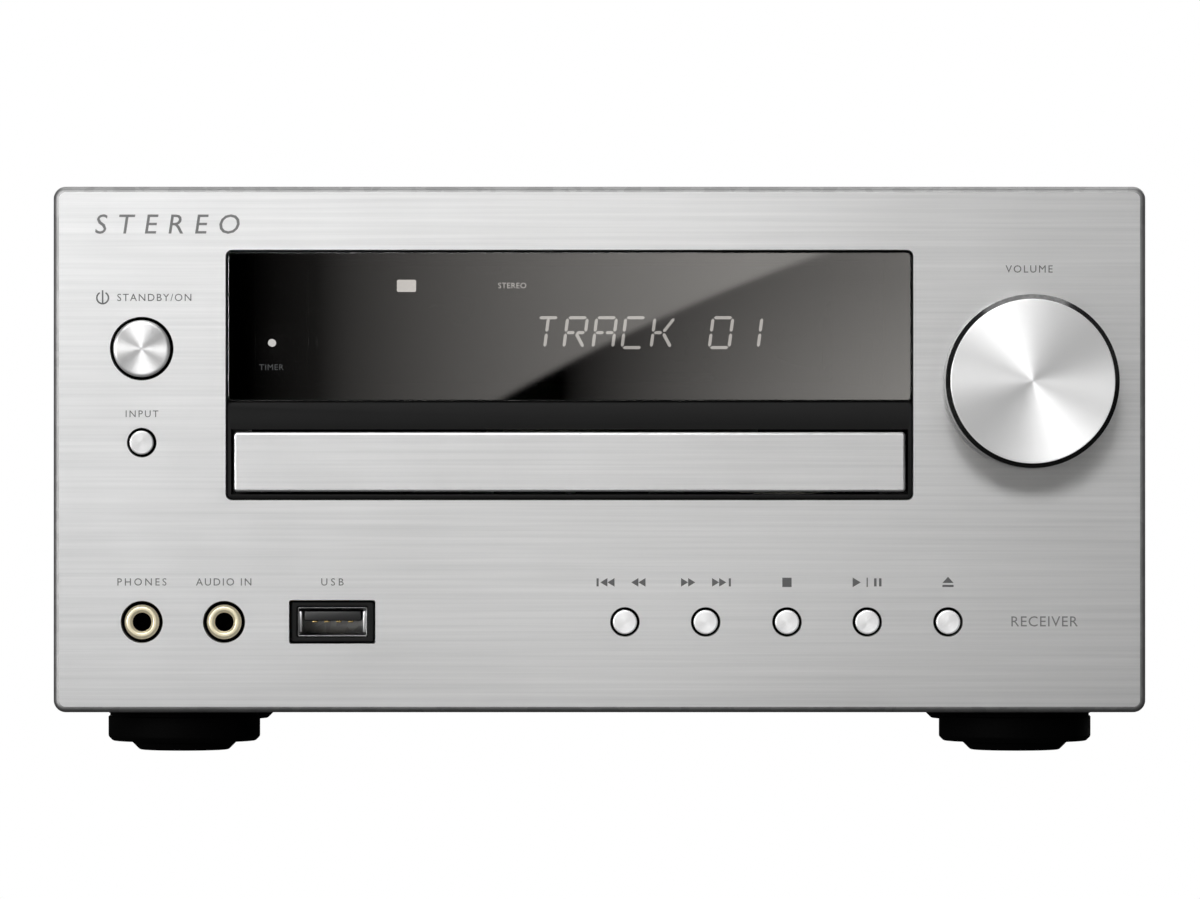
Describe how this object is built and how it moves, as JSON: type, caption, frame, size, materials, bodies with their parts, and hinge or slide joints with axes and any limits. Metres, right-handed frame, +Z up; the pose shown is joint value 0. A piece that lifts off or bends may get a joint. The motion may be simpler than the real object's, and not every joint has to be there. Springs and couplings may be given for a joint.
{
  "type": "mini hifi system",
  "caption": "Compact desktop disc receiver with a brushed aluminium front, display window, sliding disc tray, round volume knob, push buttons and front sockets.",
  "frame": {"origin": "on the floor, under the middle of the receiver's box", "axes": "+Z up, +Y from the front panel to the rear sockets, +X to the right as seen from the front"},
  "size_m": [0.215, 0.288, 0.1119],
  "materials": {
    "brushed_aluminium": "fine horizontal brushing, clear anodised",
    "spun_aluminium": "concentric turned lines, clear anodised",
    "cover_paint": "fine satin silver-grey paint",
    "rear_paint": "satin black paint",
    "zinc_steel": "zinc plated sheet steel",
    "black_plastic": "moulded, fine grain",
    "smoked_acrylic": "smoked, polished",
    "foot_rubber": "moulded, matte",
    "screw_steel": "black oxide",
    "gold_plate": "gold plated",
    "white_plastic": "natural acetal",
    "circuit_board": "green solder mask",
    "transformer_iron": "laminated core with a copper winding",
    "heat_sink_aluminium": "extruded, plain",
    "polished_steel": "ground and polished",
    "belt_rubber": "moulded square section",
    "cable_grey": "ribbed flat cable",
    "display_glass": "dark glass"
  },
  "bodies": {
    "chassis": {"front_panel": "brushed_aluminium", "window_bezel": "black_plastic", "display_window": "smoked_acrylic", "front_subframe": "black_plastic", "top_cover": "cover_paint", "bottom_chassis": "zinc_steel", "rear_panel": "rear_paint", "foot_front_left": "foot_rubber", "foot_rear_left": "foot_rubber", "foot_front_right": "foot_rubber", "foot_rear_right": "foot_rubber", "cover_screw_front_left": "screw_steel", "cover_screw_rear_left": "screw_steel", "cover_screw_front_right": "screw_steel", "cover_screw_rear_right": "screw_steel", "volume_encoder": "zinc_steel", "control_board": "circuit_board", "display_tube": "display_glass", "phones_jack": "gold_plate", "audio_in_jack": "gold_plate", "usb_socket": "zinc_steel", "loader_frame": "black_plastic", "loading_motor": "zinc_steel", "drive_belt": "belt_rubber", "clamp_bridge": "zinc_steel", "main_board": "circuit_board", "power_transformer": "transformer_iron", "heat_sink": "heat_sink_aluminium", "fan_housing": "black_plastic", "speaker_terminals": "black_plastic", "rca_jacks": "gold_plate", "antenna_jack": "zinc_steel", "mains_inlet": "black_plastic", "tuner_module": "zinc_steel", "front_ribbon_cable": "cable_grey"},
    "tray": {"disc_tray": "black_plastic", "tray_fascia": "brushed_aluminium"},
    "loading_gear": {"loading_gear": "white_plastic"},
    "motor_pulley": {"motor_pulley": "white_plastic"},
    "traverse": {"traverse_deck": "zinc_steel", "spindle_motor": "zinc_steel", "feed_motor": "zinc_steel", "guide_rod_left": "polished_steel", "guide_rod_right": "polished_steel"},
    "cam_slider": {"cam_slider": "white_plastic"},
    "turntable": {"turntable": "black_plastic"},
    "disc_clamp": {"disc_clamp": "white_plastic"},
    "pickup": {"laser_pickup": "black_plastic"},
    "feed_gear": {"feed_gear": "white_plastic"},
    "feed_pinion": {"feed_pinion": "white_plastic"},
    "volume_knob": {"volume_knob": "spun_aluminium", "encoder_shaft": "polished_steel"},
    "fan_rotor": {"fan_rotor": "black_plastic"},
    "standby_button": {"standby_button": "spun_aluminium"},
    "input_button": {"input_button": "spun_aluminium"},
    "previous_button": {"previous_button": "spun_aluminium"},
    "next_button": {"next_button": "spun_aluminium"},
    "stop_button": {"stop_button": "spun_aluminium"},
    "play_button": {"play_button": "spun_aluminium"},
    "eject_button": {"eject_button": "spun_aluminium"}
  },
  "joints": [
    {"name": "tray_slide", "type": "slide", "parent": "chassis", "child": "tray", "axis": [0, -1, 0], "range_m": [0, 0.135]},
    {"name": "loading_gear_spin", "type": "hinge", "parent": "chassis", "child": "loading_gear", "pos_m": [0.0385, -0.1005, 0.0496], "axis": [0, 0, 1], "range_deg": [-806, 0]},
    {"name": "motor_pulley_spin", "type": "hinge", "parent": "chassis", "child": "motor_pulley", "pos_m": [0.0001, -0.1005, 0.0496], "axis": [0, 0, 1], "range_deg": [-1935, 0]},
    {"name": "traverse_tilt", "type": "hinge", "parent": "chassis", "child": "traverse", "pos_m": [-0.0059, 0.04, 0.05], "axis": [1, 0, 0], "range_deg": [0, 3.2]},
    {"name": "cam_slide", "type": "slide", "parent": "chassis", "child": "cam_slider", "axis": [-1, 0, 0], "range_m": [0, 0.016]},
    {"name": "turntable_spin", "type": "hinge", "parent": "traverse", "child": "turntable", "pos_m": [-0.0059, -0.0575, 0.0575], "axis": [0, 0, 1], "continuous": true},
    {"name": "disc_clamp_spin", "type": "hinge", "parent": "chassis", "child": "disc_clamp", "pos_m": [-0.0059, -0.0575, 0.0645], "axis": [0, 0, 1], "continuous": true},
    {"name": "pickup_slide", "type": "slide", "parent": "traverse", "child": "pickup", "axis": [0, 1, 0], "range_m": [0, 0.035]},
    {"name": "feed_gear_spin", "type": "hinge", "parent": "traverse", "child": "feed_gear", "pos_m": [0.0271, -0.016, 0.0531], "axis": [0, 0, 1], "range_deg": [-335, 0]},
    {"name": "feed_pinion_spin", "type": "hinge", "parent": "traverse", "child": "feed_pinion", "pos_m": [0.0271, -0.0024, 0.0541], "axis": [0, 0, 1], "range_deg": [0, 803]},
    {"name": "volume_turn", "type": "hinge", "parent": "chassis", "child": "volume_knob", "pos_m": [0.0846, -0.137, 0.0735], "axis": [0, 1, 0], "continuous": true},
    {"name": "fan_spin", "type": "hinge", "parent": "chassis", "child": "fan_rotor", "pos_m": [0.005, 0.12, 0.08], "axis": [0, 1, 0], "continuous": true},
    {"name": "standby_press", "type": "slide", "parent": "chassis", "child": "standby_button", "axis": [0, 1, 0], "range_m": [0, 0.0008], "stiffness_N_per_m": 500},
    {"name": "input_press", "type": "slide", "parent": "chassis", "child": "input_button", "axis": [0, 1, 0], "range_m": [0, 0.0008], "stiffness_N_per_m": 500},
    {"name": "previous_press", "type": "slide", "parent": "chassis", "child": "previous_button", "axis": [0, 1, 0], "range_m": [0, 0.0008], "stiffness_N_per_m": 500},
    {"name": "next_press", "type": "slide", "parent": "chassis", "child": "next_button", "axis": [0, 1, 0], "range_m": [0, 0.0008], "stiffness_N_per_m": 500},
    {"name": "stop_press", "type": "slide", "parent": "chassis", "child": "stop_button", "axis": [0, 1, 0], "range_m": [0, 0.0008], "stiffness_N_per_m": 500},
    {"name": "play_press", "type": "slide", "parent": "chassis", "child": "play_button", "axis": [0, 1, 0], "range_m": [0, 0.0008], "stiffness_N_per_m": 500},
    {"name": "eject_press", "type": "slide", "parent": "chassis", "child": "eject_button", "axis": [0, 1, 0], "range_m": [0, 0.0008], "stiffness_N_per_m": 500}
  ],
  "couplings": [
    {"joint": "loading_gear_spin", "follows": "tray_slide", "rad_per_m": -104.17},
    {"joint": "motor_pulley_spin", "follows": "tray_slide", "rad_per_m": -250},
    {"joint": "cam_slide", "follows": "traverse_tilt", "m_per_rad": 0.2863},
    {"joint": "disc_clamp_spin", "follows": "turntable_spin", "ratio": 1},
    {"joint": "feed_gear_spin", "follows": "pickup_slide", "rad_per_m": -166.67},
    {"joint": "feed_pinion_spin", "follows": "pickup_slide", "rad_per_m": 400}
  ]
}
